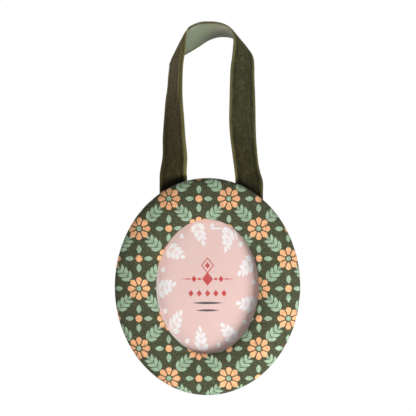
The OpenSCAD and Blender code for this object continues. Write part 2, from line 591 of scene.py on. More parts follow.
@dataclass(frozen=True)
class PrintedCotton(Cotton):
    """Printed plain-woven cotton: a dark ground with leaves and petals.

    The print's edges are ragged, and its ink evens the slubs out.
    """

    ground: Colour = paint(72, 75, 53)
    slubs: float = 2.0
    evened: float = 1.3
    leaf: Colour = paint(157, 182, 154)
    petal: Colour = paint(243, 180, 132)
    pattern: FolkPrint = FolkPrint()
    ragged: float = 0.34
    rags: Clouds = Clouds(0.625, 0.625)

    def material(self) -> bpy.types.Material:
        """Makes the finish.

        Returns:
            The material.
        """
        tree = Tree.of("printed_cotton")
        u, v = tree.flat()
        ragged = self.ragged * (self.rags.over(tree, u, v) - 0.5)
        leaf, petal = self.pattern.masks(tree, u + ragged, v - ragged)
        colour = tree.blend(self.ground, self.leaf, leaf)
        colour = tree.blend(colour, self.petal, petal)
        return self.woven(tree, colour, self.slubs - self.evened * tree.most(leaf, petal))


@dataclass(frozen=True)
class VelvetPile:
    """The ribbon's pile face: dark brushed pile between two pale woven selvedges.

    The pile leans along the ribbon, so it leans up in one strand and down in the other. How it catches
    light each way is painted into its colour: the first strand is brown and painted lighter towards its
    top as a painted sheen, and the second is greener and painted brown and darker at its foot as painted
    shade. The pile also leans over the back selvedge of the first strand and the front one of the
    second. It is painted darker next to the frame's edge as a painted shadow, and in a groove beside
    each selvedge as painted shade. Where the first strand turns into the bend, a crease beside its front
    selvedge catches the light.

    Stretches are measured along the ribbon from its first end, and the shaded groove and the crease by how
    far in they lie and half their width. A ramp is the range that it maps and the range it gives.
    """

    half_width: float
    oval: Pair
    # Painted light: the strands' colours stand for how the nap catches light up one strand and down the
    # other, with a painted sheen at the first strand's top and painted shade at the second's foot.
    pile_low: Colour = paint(60, 54, 33)
    pile_top_painted_sheen: Colour = paint(105, 93, 72)
    pile_down: Colour = paint(60, 62, 41)
    pile_foot_painted_shade: Colour = paint(49, 47, 27)
    brushed: Colour = paint(96, 92, 62)
    selvedge: Colour = paint(140, 133, 84)
    sheen: Colour = paint(180, 176, 130)
    # Where the painted sheen rises up the first strand, where the strands turn, and where the painted shade
    # darkens the second strand's foot.
    rise: Pair = (18.0, 76.0)
    turn: Pair = (86.0, 118.0)
    foot: Pair = (140.0, 163.0)
    fold_starts: Pair = (48.0, 57.0)
    fold_ends: Pair = (73.0, 81.0)
    crease: Pair = (2.3, 0.6)
    selvedge_width: float = 1.7
    second_narrower: float = 0.4
    # Painted shade darkens this groove beside each selvedge.
    shaded_groove: Pair = (0.6, 0.5)
    rib_turn: float = 14.0
    pile_depth: float = 0.22
    nap: Clouds = Clouds(0.45, 0.6, 2.0, 4.0)
    tufts: Clouds = Clouds(1.1, 1.3, 9.0, 3.0)
    streaks: Clouds = Clouds(0.9, 7.0, 7.0, 3.0)
    brushing: Clouds = Clouds(2.6, 5.0, 5.0, 3.0)
    brushed_share: Ramp = (0.45, 0.8, 0.0, 0.35)
    # Painted shadow on the pile next to the frame's edge, by distance from it in each strand.
    first_painted_shadow: Ramp = (0.9, 4.2, 0.1, 1.0)
    second_painted_shadow: Ramp = (0.2, 6.0, 0.36, 1.0)
    first_back_covered: float = 0.75
    second_back_covered: Ramp = (112.0, 140.0, 0.0, 0.6)
    second_front_covered: float = 0.5
    woven: Ramp = (1.1, 0.6, 0.0, 0.6)
    rim: Ramp = (0.9, 0.3, 0.0, 0.42)
    worn: Ramp = (0.3, 0.65, 0.65, 1.0)
    worn_length: float = 7.0

    def material(self) -> bpy.types.Material:
        """Makes the finish.

        Returns:
            The material.
        """
        tree = Tree.of("velvet_pile")
        u, v = tree.flat()
        second = tree.ramp(v, *self.turn)
        nap = self.nap.over(tree, u, v)
        # The pile's brightness carries painted shade in its grooves and painted shadow by the frame's edge.
        light = self._brushed_light(tree, u, v, nap) * self._painted_shadow(tree, second)
        colour = tree.dim(self._pile(tree, u, v, second), light)
        border = self._border(tree, u, v, second)
        ribs = 0.5 + 0.5 * tree.math(Op.SINE, v * self.rib_turn)
        fibres = nap * (1 - border) + border * ribs
        return tree.coat(
            {
                "Base Color": tree.blend(colour, self.selvedge, border),
                "Roughness": 0.95,
                "Specular IOR Level": 0.1,
                "Sheen Weight": 0.3,
                "Sheen Roughness": 0.4,
                "Sheen Tint": self.sheen,
                "Normal": tree.bump(fibres, self.pile_depth, 0.8),
            }
        )

    def _pile(self, tree: Tree, u: Value, v: Value, second: Value) -> bpy.types.NodeSocket:
        """The pile's colour, with painted light: up the first strand with a painted sheen at its top, down
        the second with painted shade at its foot, and paler where it is brushed.

        Args:
            tree: The material's nodes.
            u, v: Coordinates on the flat ribbon, in millimetres.
            second: 0 in the first strand and 1 in the second.

        Returns:
            The colour's socket.
        """
        # Painted light: a sheen up the first strand and shade at the second strand's foot.
        up = tree.blend(self.pile_low, self.pile_top_painted_sheen, tree.ramp(v, *self.rise))
        down = tree.blend(self.pile_down, self.pile_foot_painted_shade, tree.ramp(v, *self.foot))
        brushed = tree.ramp(self.brushing.over(tree, u, v), *self.brushed_share)
        return tree.blend(tree.blend(up, down, second), self.brushed, brushed)

    def _brushed_light(self, tree: Tree, u: Value, v: Value, nap: Value) -> Value:
        """Brightness of the pile by its nap, tufts and streaks, with painted shade in the grooves at its
        sides.

        Args:
            tree: The material's nodes.
            u, v: Coordinates on the flat ribbon, in millimetres.
            nap: The nap's noise, from 0 to 1.

        Returns:
            The factor.
        """
        tufts, streaks = self.tufts.over(tree, u, v), self.streaks.over(tree, u, v)
        pile = (0.55 + 0.9 * nap) * (0.25 + 1.5 * tufts) * (0.5 + streaks)
        inset, half = self.shaded_groove
        from_shaded_groove = self.half_width - abs(u) - self.selvedge_width - inset
        return pile * (1 - 0.3 * tree.inside(abs(from_shaded_groove) - half, 0.6))

    def _painted_shadow(self, tree: Tree, second: Value) -> Value:
        """Painted shadow on the pile next to the frame's edge, by its distance from it, in both strands.

        Args:
            tree: The material's nodes.
            second: 0 in the first strand and 1 in the second.

        Returns:
            The factor.
        """
        x, _, z = tree.place()
        above = (tree.radius(x / self.oval[0], z / self.oval[1]) - 1) * self.oval[1]
        first = tree.ramp(above, *self.first_painted_shadow)
        return first + second * (tree.ramp(above, *self.second_painted_shadow) - first)

    def _border(self, tree: Tree, u: Value, v: Value, second: Value) -> Value:
        """Where the selvedges and the crease show through the pile.

        Args:
            tree: The material's nodes.
            u, v: Coordinates on the flat ribbon, in millimetres.
            second: 0 in the first strand and 1 in the second.

        Returns:
            The share of the selvedge's colour, from 0 to 1.
        """
        from_edge = self.half_width - abs(u)
        front = u > 0.0
        back = tree.ramp(v, *self.second_back_covered) * second + self.first_back_covered * (1 - second)
        covered = self.second_front_covered * front * second + back * (1 - front)
        width = self.selvedge_width - self.second_narrower * second
        woven = tree.ramp(from_edge / width, *self.woven)
        rim = tree.ramp(from_edge, *self.rim)
        worn = tree.ramp(tree.cloudy(v / self.worn_length, front * 9, 4.0), *self.worn)
        folded = tree.ramp(v, *self.fold_starts) * tree.ramp(v, *self.fold_ends, 1.0, 0.0) * front
        inset, half = self.crease
        crease = folded * tree.inside(abs(from_edge - inset) - half, half)
        return tree.most((woven + rim) * (1 - covered) * worn * (1 - 0.3 * folded), crease)


@dataclass(frozen=True)
class SatinBack:
    """The ribbon's inner face: fine satin, greener at one end of the bend than at the other.

    The hollow is the middle and half the length of the stretch under the bend that gets the least
    light, along the ribbon. The corner is the stretch over which it gets its light back where the
    first strand ends. Its light is full at its front edge, and dimmer towards its back edge and in
    the hollow.
    """

    half_width: float
    satin: Colour = paint(122, 139, 109)
    satin_far: Colour = paint(138, 132, 103)
    shade: Colour = paint(101, 99, 76)
    edge: Colour = paint(78, 70, 44)
    edge_width: float = 0.9
    turn: Pair = (82.0, 106.0)
    hollow: Pair = (95.0, 5.5)
    corner: Pair = (74.0, 90.0)
    full_light: float = 1.12
    back_dimmer: float = 0.42
    hollow_back_dimmer: float = 0.44
    hollow_dimmer: float = 0.14
    rib_pitch: float = 0.35
    rib_depth: float = 0.05
    threads: Clouds = Clouds(3.0, 0.3, 1.0)

    def material(self) -> bpy.types.Material:
        """Makes the finish.

        Returns:
            The material.
        """
        tree = Tree.of("satin_back")
        u, v = tree.flat()
        ribs = 0.5 + 0.5 * tree.math(Op.SINE, v * (2 * math.pi / self.rib_pitch))
        threads = self.threads.over(tree, u, v)
        colour = tree.blend(self.satin, self.satin_far, tree.ramp(v, *self.turn))
        colour = tree.blend(colour, self.shade, 0.45 * threads + 0.1 * ribs)
        hollow = tree.inside(abs(v - self.hollow[0]) - self.hollow[1], self.hollow[1])
        back = tree.ramp(u, -self.half_width, self.half_width, 1.0, 0.0)
        light = self.full_light - back * (self.back_dimmer + self.hollow_back_dimmer * hollow)
        light = (light - self.hollow_dimmer * hollow) * tree.ramp(v, *self.corner, 0.85, 1.0)
        colour = tree.dim(colour, light)
        from_edge = self.half_width - abs(u)
        return tree.coat(
            {
                "Base Color": tree.blend(colour, self.edge, tree.inside(from_edge - self.edge_width, 0.25)),
                "Roughness": 0.42,
                "Specular IOR Level": 0.5,
                "Sheen Weight": 0.15,
                "Sheen Roughness": 0.4,
                "Normal": tree.bump(ribs * 0.6 + threads * 0.4, self.rib_depth, 0.6),
            }
        )


@dataclass(frozen=True)
class Wadding:
    """Soft polyester wadding."""

    colour: Colour = paint(240, 238, 230)
    tuft: Triple = (1.5, 1.5, 1.5)

    def material(self) -> bpy.types.Material:
        """Makes the finish.

        Returns:
            The material.
        """
        tree = Tree.of("wadding")
        fluff = tree.lumpy(self.tuft, 6.0)
        return tree.coat(
            {
                "Base Color": tree.dim(self.colour, 0.88 + 0.16 * fluff),
                "Roughness": 1.0,
                "Sheen Weight": 0.3,
                "Normal": tree.bump(fluff, 0.6),
            }
        )


@dataclass(frozen=True)
class Greyboard:
    """Matt grey board with short fibres and darker specks."""

    colour: Colour = paint(166, 156, 140)
    speck: Colour = paint(112, 102, 90)
    fibre_size: Triple = (0.5, 0.25, 1.6)
    speck_size: Triple = (0.8, 0.3, 0.5)

    def material(self) -> bpy.types.Material:
        """Makes the finish.

        Returns:
            The material.
        """
        tree = Tree.of("greyboard")
        fibres = tree.lumpy(self.fibre_size, 4.0)
        specks = tree.ramp(tree.lumpy(self.speck_size), 0.62, 0.72)
        return tree.coat(
            {
                "Base Color": tree.blend(self.colour, self.speck, 0.3 * fibres + 0.5 * specks),
                "Roughness": 0.92,
                "Specular IOR Level": 0.2,
                "Normal": tree.bump(fibres, 0.12),
            }
        )


@dataclass(frozen=True)
class PrintedCard:
    """The card in the window: pink, with white sprigs round its margin and plain ornaments.

    The sprigs stand on the opening's oval and point inwards, with a dot between each two. The
    ornaments in the middle are rules and lozenges. The red rule has gaps, each given by how far
    its middle is from the middle line and by half its width.
    """

    half_width: float
    half_height: float
    pink: Colour = paint(224, 190, 183)
    white: Colour = paint(235, 233, 233)
    red: Colour = paint(188, 20, 8)
    ink: Colour = paint(62, 44, 50)
    clouds: Clouds = Clouds(16.0, 16.0)
    tooth: Clouds = Clouds(0.18, 0.18, 1.0, 3.0)
    sprigs: int = 9
    turned: float = 0.9
    tilt: float = 0.22
    stem: Pair = (0.4, 8.4)
    stem_width: float = 0.36
    dot: Pair = (2.6, 1.15)
    leaves: tuple[Spindle, ...] = (
        Spindle((1.2, 0.2), 54.0, 4.4, 2.4),
        Spindle((3.8, 0.2), 50.0, 3.8, 2.2),
        Spindle((6.1, 0.2), 46.0, 3.0, 1.9),
        Spindle((8.0, 0.0), 0.0, 2.7, 1.9),
    )
    outline: Lozenge = Lozenge(0.0, 9.6, 2.7)
    outline_width: float = 0.56
    lozenges: tuple[Lozenge, ...] = (
        Lozenge(0.0, 9.6, 1.2),
        Lozenge(0.0, 3.4, 2.5),
        Lozenge(6.2, 3.4, 1.2),
        Lozenge(0.0, -3.2, 1.25),
        Lozenge(3.8, -3.2, 1.25),
        Lozenge(7.6, -3.2, 1.25),
    )
    red_rule: Spindle = Spindle((-12.4, 3.4), 0.0, 24.8, 1.0)
    gaps: tuple[Pair, ...] = ((0.0, 3.0), (6.2, 1.7))
    ink_rules: tuple[Spindle, ...] = (
        Spindle((-7.2, -7.6), 0.0, 14.4, 1.1),
        Spindle((-5.4, -11.0), 0.0, 10.8, 1.0),
    )

    def material(self) -> bpy.types.Material:
        """Makes the finish.

        Returns:
            The material.
        """
        tree = Tree.of("printed_card")
        x, _, z = tree.place()
        colour = tree.dim(self.pink, 0.97 + 0.06 * self.clouds.over(tree, x, z))
        colour = tree.blend(colour, self.white, 0.95 * self._margin(tree, x, z))
        colour = tree.blend(colour, self.red, self._ornaments(tree, x, z))
        rules = tree.least(*(rule.distance(x, z) for rule in self.ink_rules))
        return tree.coat(
            {
                "Base Color": tree.blend(colour, self.ink, tree.inside(rules)),
                "Roughness": 0.7,
                "Specular IOR Level": 0.3,
                "Normal": tree.bump(self.tooth.over(tree, x, z), 0.02, 0.5),
            }
        )

    def _margin(self, tree: Tree, x: Value, z: Value) -> Value:
        """Where the margin's sprigs and the dots between them are printed.

        Args:
            tree: The material's nodes.
            x, z: A point's place, in millimetres.

        Returns:
            The share of white.
        """
        across, up = x / self.half_width, z / self.half_height
        radius = tree.radius(across, up)
        mean = (self.half_width + self.half_height) / 2
        apart = 2 * math.pi * mean / self.sprigs
        inwards = (1 - radius) * mean
        turn = tree.math(Op.ANGLE, up, across) * (self.sprigs / (2 * math.pi))
        step = tree.math(Op.FRACTION, turn + self.turned) - 0.5
        aside = abs(step * radius * apart + inwards * self.tilt)
        leaves = [leaf.distance(inwards, aside) for leaf in self.leaves]
        low, high = self.stem
        along = abs(inwards - (low + high) / 2) - (high - low) / 2
        stem = tree.most(aside - self.stem_width / 2, along)
        dot = tree.radius(inwards - self.dot[0], (0.5 - abs(step)) * apart) - self.dot[1]
        return tree.inside(tree.least(stem, dot, *leaves), 0.15)

    def _ornaments(self, tree: Tree, x: Value, z: Value) -> Value:
        """Where red is printed: an outlined lozenge, a long rule with three, and a row of five.

        Args:
            tree: The material's nodes.
            x, z: A point's place, in millimetres.

        Returns:
            The share of red.
        """
        gaps = [half - abs(abs(x) - aside) for aside, half in self.gaps]
        rule = tree.most(self.red_rule.distance(x, z), *gaps)
        outline = abs(self.outline.distance(x, z)) - self.outline_width / 2
        lozenges = [lozenge.distance(x, z) for lozenge in self.lozenges]
        return tree.inside(tree.least(outline, rule, *lozenges))


@dataclass(frozen=True)
class ClearFilm:
    """Clear plastic film: nearly unseen, with a faint haze, a bright edge and two fine white streaks
    painted on as glints.

    Its edge catches light in a narrow band at the lower left. The band is given by its middle and
    half its width, as shares of the way from the opening's middle to its edge.
    """

    half_width: float
    half_height: float
    film: Colour = paint(253, 253, 255)
    haze: float = 0.035
    clouds: Clouds = Clouds(14.0, 14.0, 4.0)
    # White streaks painted on the film as glints.
    painted_glints: tuple[Spindle, ...] = (
        Spindle((0.5, 26.7), 0.0, 6.8, 0.6),
        Spindle((13.802, 20.706), 105.0, 6.2, 0.6),
    )
    band: Pair = (0.985, 0.008)
    towards: Pair = (-0.85, -0.53)
    bright: float = 0.55

    def material(self) -> bpy.types.Material:
        """Makes the finish.

        Returns:
            The material.
        """
        tree = Tree.of("clear_film")
        x, _, z = tree.place()
        clouds = tree.ramp(self.clouds.over(tree, x, z), 0.35, 0.8)
        # Two white glints painted on the film as highlights.
        painted_glints = [tree.inside(glint.distance(x, z), 0.1) for glint in self.painted_glints]
        shown = tree.most(clouds * self.haze + self.haze * 0.4, self._edge(tree, x, z), *painted_glints)
        clear = tree.add("ShaderNodeBsdfTransparent")
        gloss = tree.principled(
            {"Base Color": self.film, "Roughness": 0.12, "Specular IOR Level": 0.5}
        )
        return tree.mix(clear, gloss, tree.least(shown + self._reflected(tree), 1.0))

    def _reflected(self, tree: Tree) -> Value:
        """Share of light that one face of the film reflects, alike from both of its sides."""
        weight = tree.add("ShaderNodeLayerWeight", None, {"Blend": 0.5})
        return 0.018 + 0.96 * Value(tree, weight.outputs["Facing"]) ** 5

    def _edge(self, tree: Tree, x: Value, z: Value) -> Value:
        """Where the film catches light along the opening's lower left edge.

        Args:
            tree: The material's nodes.
            x, z: A point's place, in millimetres.

        Returns:
            The share of light that it catches.
        """
        across, up = x / self.half_width, z / self.half_height
        middle, half = self.band
        band = tree.inside(abs(tree.radius(across, up) - middle) - half, half)
        side = tree.ramp(across * self.towards[0] + up * self.towards[1], 0.55, 0.95)
        return band * side * self.bright


@dataclass(frozen=True)
class FrameSizes:
    """Sizes of the frame in millimetres, read from the CAD nodes where their boxes give them."""

    half_width: float
    half_height: float
    back_thickness: float
    front_back: float
    board_back: float
    board_front: float
    crown: float
    back_half_width: float
    back_half_height: float
    border: float = 19.0
    pad_edge: float = 0.6
    fullness: float = 2.6
    bend: float = 0.6
    outer_turn_in: float = 8.0
    inner_turn_in: float = 6.0
    arch_samples: int = 400

    @classmethod
    def from_cad(cls) -> "FrameSizes":
        """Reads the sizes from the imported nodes.

        Returns:
            The sizes.
        """
        cover, board, back = (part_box(node) for node in ("front_cover", "front_board", "back_cover"))
        return cls(
            half_width=cover[1].x / MM,
            half_height=cover[1].z / MM,
            back_thickness=-back[0].y / MM,
            front_back=-cover[1].y / MM,
            board_back=-board[1].y / MM,
            board_front=-board[0].y / MM,
            crown=-cover[0].y / MM,
            back_half_width=back[1].x / MM,
            back_half_height=back[1].z / MM,
        )

    @property
    def cloth(self) -> float:
        """Thickness of the cloth."""
        return self.board_back - self.front_back

    @property
    def arch_foot(self) -> float:
        """Where the padding's arch starts to rise, out from the back."""
        return self.board_front + self.pad_edge

    def arch(self, cloth: float, steps: int) -> list[Pair]:
        """Rows of inset and out over the padded border, from the outer edge to the opening.

        Args:
            cloth: How far the arch lies over the wadding.
            steps: How many evenly spaced steps it has.

        Returns:
            The rows.
        """
        half = self.border / 2 - self.cloth + cloth
        rise = self.crown - self.cloth - self.arch_foot + cloth
        fine = []
        for k in range(self.arch_samples + 1):
            angle = math.pi * k / self.arch_samples
            along = math.copysign(abs(math.cos(angle)) ** (2 / self.fullness), math.cos(angle))
            up = max(math.sin(angle), 0.0) ** (2 / self.fullness)
            fine.append((self.border / 2 - half * along, self.arch_foot + rise * up))
        return evenly(fine, steps)


def evenly(rows: Sequence[Pair], steps: int) -> list[Pair]:
    """Places rows at equal distances along the line that the given rows draw.

    Args:
        rows: The line's points.
        steps: How many equal steps to take along it.

    Returns:
        The new rows, the first and last of which are those given.
    """
    reach = [0.0]
    for a, b in zip(rows, rows[1:]):
        reach.append(reach[-1] + math.dist(a, b))
    placed, k = [], 0
    for step in range(steps + 1):
        wanted = reach[-1] * step / steps
        while k < len(rows) - 2 and reach[k + 1] < wanted:
            k += 1
        share = (wanted - reach[k]) / (reach[k + 1] - reach[k])
        placed.append(tuple(a + (b - a) * share for a, b in zip(rows[k], rows[k + 1])))
    return placed


def quarter(middle: Pair, radius: float, start: float, steps: int) -> list[Pair]:
    """Rows round a quarter bend, turning back from its start angle in degrees."""
    angles = [math.radians(start - 90 * k / steps) for k in range(steps + 1)]
    return [(middle[0] + radius * math.cos(a), middle[1] + radius * math.sin(a)) for a in angles]


def select_only(piece: bpy.types.Object) -> None:
    """Selects a piece and nothing else.

    Args:
        piece: The piece.
    """
    bpy.ops.object.select_all(action="DESELECT")
    piece.select_set(True)
    bpy.context.view_layer.objects.active = piece


def apply_all(piece: bpy.types.Object) -> None:
    """Applies a piece's modifiers, with only that piece selected.

    Args:
        piece: The piece.
    """
    select_only(piece)
    for name in [modifier.name for modifier in piece.modifiers]:
        bpy.ops.object.modifier_apply(modifier=name)


def hand_over(piece: bpy.types.Object, node: str, smooth: float = 50.0) -> None:
    """Smooths a finished piece, puts it in the place of a CAD node and reports it.

    Args:
        piece: The piece.
        node: The CAD node that it stands for.
        smooth: The angle in degrees up to which its edges look smooth.
    """
    select_only(piece)
    bpy.ops.object.shade_smooth_by_angle(angle=math.radians(smooth))
    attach(piece, "root")
    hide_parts(node)
    LOG.info("%s: %d faces, in place of %s", piece.name, len(piece.data.polygons), node)


def declare_stretched(cut: Pair, hole: Pair) -> None:
    """Reports the cut size and area of a sheet that is stretched over a piece.

    Args:
        cut: Half the width and height of the oval that it is cut as.
        hole: Half the width and height of the opening cut in it. All are in millimetres.
    """
    flat = (2 * cut[0] * MM, 2 * cut[1] * MM)
    area = math.pi * (cut[0] * cut[1] - hole[0] * hole[1]) * MM**2
    LOG.info("cut %.1f by %.1f mm, %.0f square mm", flat[0] / MM, flat[1] / MM, area / MM**2)


def thicken(piece: bpy.types.Object, thickness: float, offset: float, group: str = "") -> None:
    """Gives a sheet its thickness and closes its edges.

    Args:
        piece: The sheet, with its normals pointing outwards.
        thickness: How thick it gets, in millimetres.
        offset: -1 to grow inwards, 0 to grow both ways.
        group: A vertex group that scales the thickness, if any.
    """
    solidify = piece.modifiers.new("thickness", "SOLIDIFY")
    solidify.thickness = thickness * MM
    solidify.offset = offset
    solidify.use_rim = True
    if group:
        solidify.vertex_group = group
    solidify.material_offset = 1 if len(piece.data.materials) > 1 else 0
    apply_all(piece)


def add_oval(name: str, halves: Pair, out: float, sides: int, fill: str) -> bpy.types.Object:
    """Adds an upright oval and leaves it selected in edit mode.

    Args:
        name: The piece's name.
        halves: Half its width and height, in millimetres.
        out: How far out it stands, in millimetres.
        sides: How many sides stand for the oval.
        fill: NOTHING for its edge alone, or NGON for a face.

    Returns:
        The piece.
    """
    bpy.ops.object.select_all(action="DESELECT")
    bpy.ops.mesh.primitive_circle_add(
        vertices=sides, radius=1.0, fill_type=fill, rotation=(math.pi / 2, 0, 0)
    )
    piece = bpy.context.object
    piece.name = name
    bpy.ops.object.transform_apply(location=True, rotation=True, scale=True)
    bpy.ops.object.mode_set(mode="EDIT")
    bpy.ops.mesh.select_all(action="SELECT")
    size = (halves[0] * MM, 1.0, halves[1] * MM)
    bpy.ops.transform.resize(value=size, center_override=(0, 0, 0))
    bpy.ops.transform.translate(value=(0, -out * MM, 0))
    return piece


class OvalSheet:
    """A mesh made by extruding an oval ring of edges through the rows of a section."""

    def __init__(self, name: str, halves: Pair, rows: Sequence[Pair], sides: int = FINE_SIDES) -> None:
        """Builds the mesh.

        Args:
            name: The piece's name.
            halves: Half the width and height of the oval that insets are measured from.
            rows: The section, as rows of inset and out in millimetres.
            sides: How many sides stand for the oval.
        """
        self.halves = halves
        self.rows = list(rows)
        self.sides = sides
        inset, out = self.rows[0]
        first = (halves[0] - inset, halves[1] - inset)
        self.piece = add_oval(name, first, out, sides, "NOTHING")
        for before, row in zip(self.rows, self.rows[1:]):
            self._extrude(before, row)
        bpy.ops.object.mode_set(mode="OBJECT")

    def _extrude(self, before: Pair, row: Pair) -> None:
        """Extrudes the selected ring to the next row of the section.

        Args:
            before: The ring's own row.
            row: The next row.
        """
        bpy.ops.mesh.extrude_edges_move()
        scale = [(half - row[0]) / (half - before[0]) for half in self.halves]
        bpy.ops.transform.resize(value=(scale[0], 1.0, scale[1]), center_override=(0, 0, 0))
        bpy.ops.transform.translate(value=(0, (before[1] - row[1]) * MM, 0))

    def close(self) -> None:
        """Joins the last row to the first, which makes a closed ring of the section."""
        bpy.ops.object.mode_set(mode="EDIT")
        bpy.ops.mesh.select_mode(type="EDGE")
        bpy.ops.mesh.select_all(action="DESELECT")
        bpy.ops.mesh.select_non_manifold()
        bpy.ops.mesh.bridge_edge_loops()
        bpy.ops.object.mode_set(mode="OBJECT")

    def fill(self) -> None:
        """Draws the last row together in one point, which closes a disc."""
        bpy.ops.object.mode_set(mode="EDIT")
        bpy.ops.mesh.extrude_edges_move()
        bpy.ops.mesh.merge(type="CENTER")
        bpy.ops.object.mode_set(mode="OBJECT")

    def face_out(self) -> None:
        """Turns all faces outwards."""
        bpy.ops.object.mode_set(mode="EDIT")
        bpy.ops.mesh.select_all(action="SELECT")
        bpy.ops.mesh.normals_make_consistent(inside=False)
        bpy.ops.object.mode_set(mode="OBJECT")

    def row_of(self, index: int) -> int:
        """The row that a vertex is in. The point that closes a disc counts as its last row."""
        return min(index // self.sides, len(self.rows) - 1)

    def angle(self, index: int) -> float:
        """Where round the oval a vertex is, as the angle that its ring was drawn with.

        Args:
            index: The vertex's number.

        Returns:
            The angle, in radians.
        """
        at = self.piece.data.vertices[index].co
        inset = self.rows[self.row_of(index)][0]
        across, up = at.x / (self.halves[0] - inset), at.z / (self.halves[1] - inset)
        return math.atan2(up / MM, across / MM)

    def shape(self, move: Callable[[Pair, float], Vector]) -> None:
        """Moves each vertex by hand, as pulling a cloth does.

        Args:
            move: The movement in millimetres, from a vertex's row and its angle round the oval.
        """
        angles = [self.angle(k) for k in range(len(self.piece.data.vertices))]
        for vertex, angle in zip(self.piece.data.vertices, angles):
            vertex.co += move(self.rows[self.row_of(vertex.index)], angle) * MM

    def reach(self, start: int, at_start: float) -> list[float]:
        """How far outwards each row's cloth lies on the flat cloth.

        Args:
            start: The row that it is measured from.
            at_start: How far outwards that row lies, in millimetres.

        Returns:
            The distances, in millimetres.
        """
        rows = self.rows
        reach = [at_start] * len(rows)
        for k in range(start - 1, -1, -1):
            reach[k] = reach[k + 1] + math.dist(rows[k], rows[k + 1])
        for k in range(start + 1, len(rows)):
            reach[k] = reach[k - 1] - math.dist(rows[k], rows[k - 1])
        return reach

    def lay_flat(self, crown: Pair, reach: Sequence[float]) -> None:
        """Writes each point's place on the flat cloth, in millimetres, as the piece's UV map.

        Args:
            crown: Half the width and height of the oval that lies where it was cut.
            reach: How far from that oval each row's cloth is, outwards positive.
        """
        mesh = self.piece.data
        flat = []
        for k in range(len(mesh.vertices)):
            if k >= len(self.rows) * self.sides:
                flat.append((0.0, 0.0))
                continue
            angle, far = self.angle(k), reach[self.row_of(k)]
            flat.append(((crown[0] + far) * math.cos(angle), (crown[1] + far) * math.sin(angle)))
        layer = mesh.uv_layers.active or mesh.uv_layers.new(name="flat_cloth")
        for loop in mesh.loops:
            layer.data[loop.index].uv = flat[loop.vertex_index]


@dataclass(frozen=True)
class Pull:
    """How the printed cloth is stretched by simulation, as soft cotton swelled by pressure.

    A point takes a mean share of the pressure, more where the wadding is full and less where it is
    hollow, but never less than the least share. No point swells further than the cap.
    """

    frames: int = 16
    quality: int = 6
    mass: float = 0.0004
    tension: float = 8.0
    shear: float = 4.0
    bending: float = 0.02
    pressure: float = 24.0
    mean: float = 0.6
    unevenness: float = 0.5
    least: float = 0.05
    cap: float = 0.45

    def weight(self, fullness: float, high: float) -> float:
        """Share of the pressure on a point, by the wadding's fullness and height there."""
        return max(self.least, min(1.0, (self.mean + self.unevenness * fullness) * high))

    def run(self, piece: bpy.types.Object, held: str, filled: str) -> None:
        """Simulates the cloth and applies the result.

        Args:
            piece: The cloth.
            held: The vertex group that is held in place.
            filled: The vertex group that takes the pressure.
        """
        stretch = piece.modifiers.new("stretch", "CLOTH")
        stretch.collision_settings.use_collision = False
        settings = stretch.settings
        settings.quality = self.quality
        settings.mass = self.mass
        settings.tension_stiffness = settings.compression_stiffness = self.tension
        settings.shear_stiffness = self.shear
        settings.bending_stiffness = self.bending
        settings.vertex_group_mass = held
        settings.use_pressure = True
        settings.uniform_pressure_force = self.pressure
        settings.vertex_group_pressure = filled
        settings.effector_weights.gravity = 0.0
        for frame_number in range(1, self.frames + 1):
            bpy.context.scene.frame_set(frame_number)
        apply_all(piece)
        bpy.context.scene.frame_set(1)

    def capped(self, moved: Vector, normal: Vector) -> Vector:
        """A point's movement in metres, held to the cap outwards and to half of it sideways.

        Args:
            moved: Its movement.
            normal: Which way is outwards there.

        Returns:
            The movement that it keeps.
        """
        out = moved.dot(normal)
        aside = moved - normal * out
        if aside.length > self.cap * MM / 2:
            aside = aside.normalized() * self.cap * MM / 2
        return normal * min(max(out, 0.0), self.cap * MM) + aside


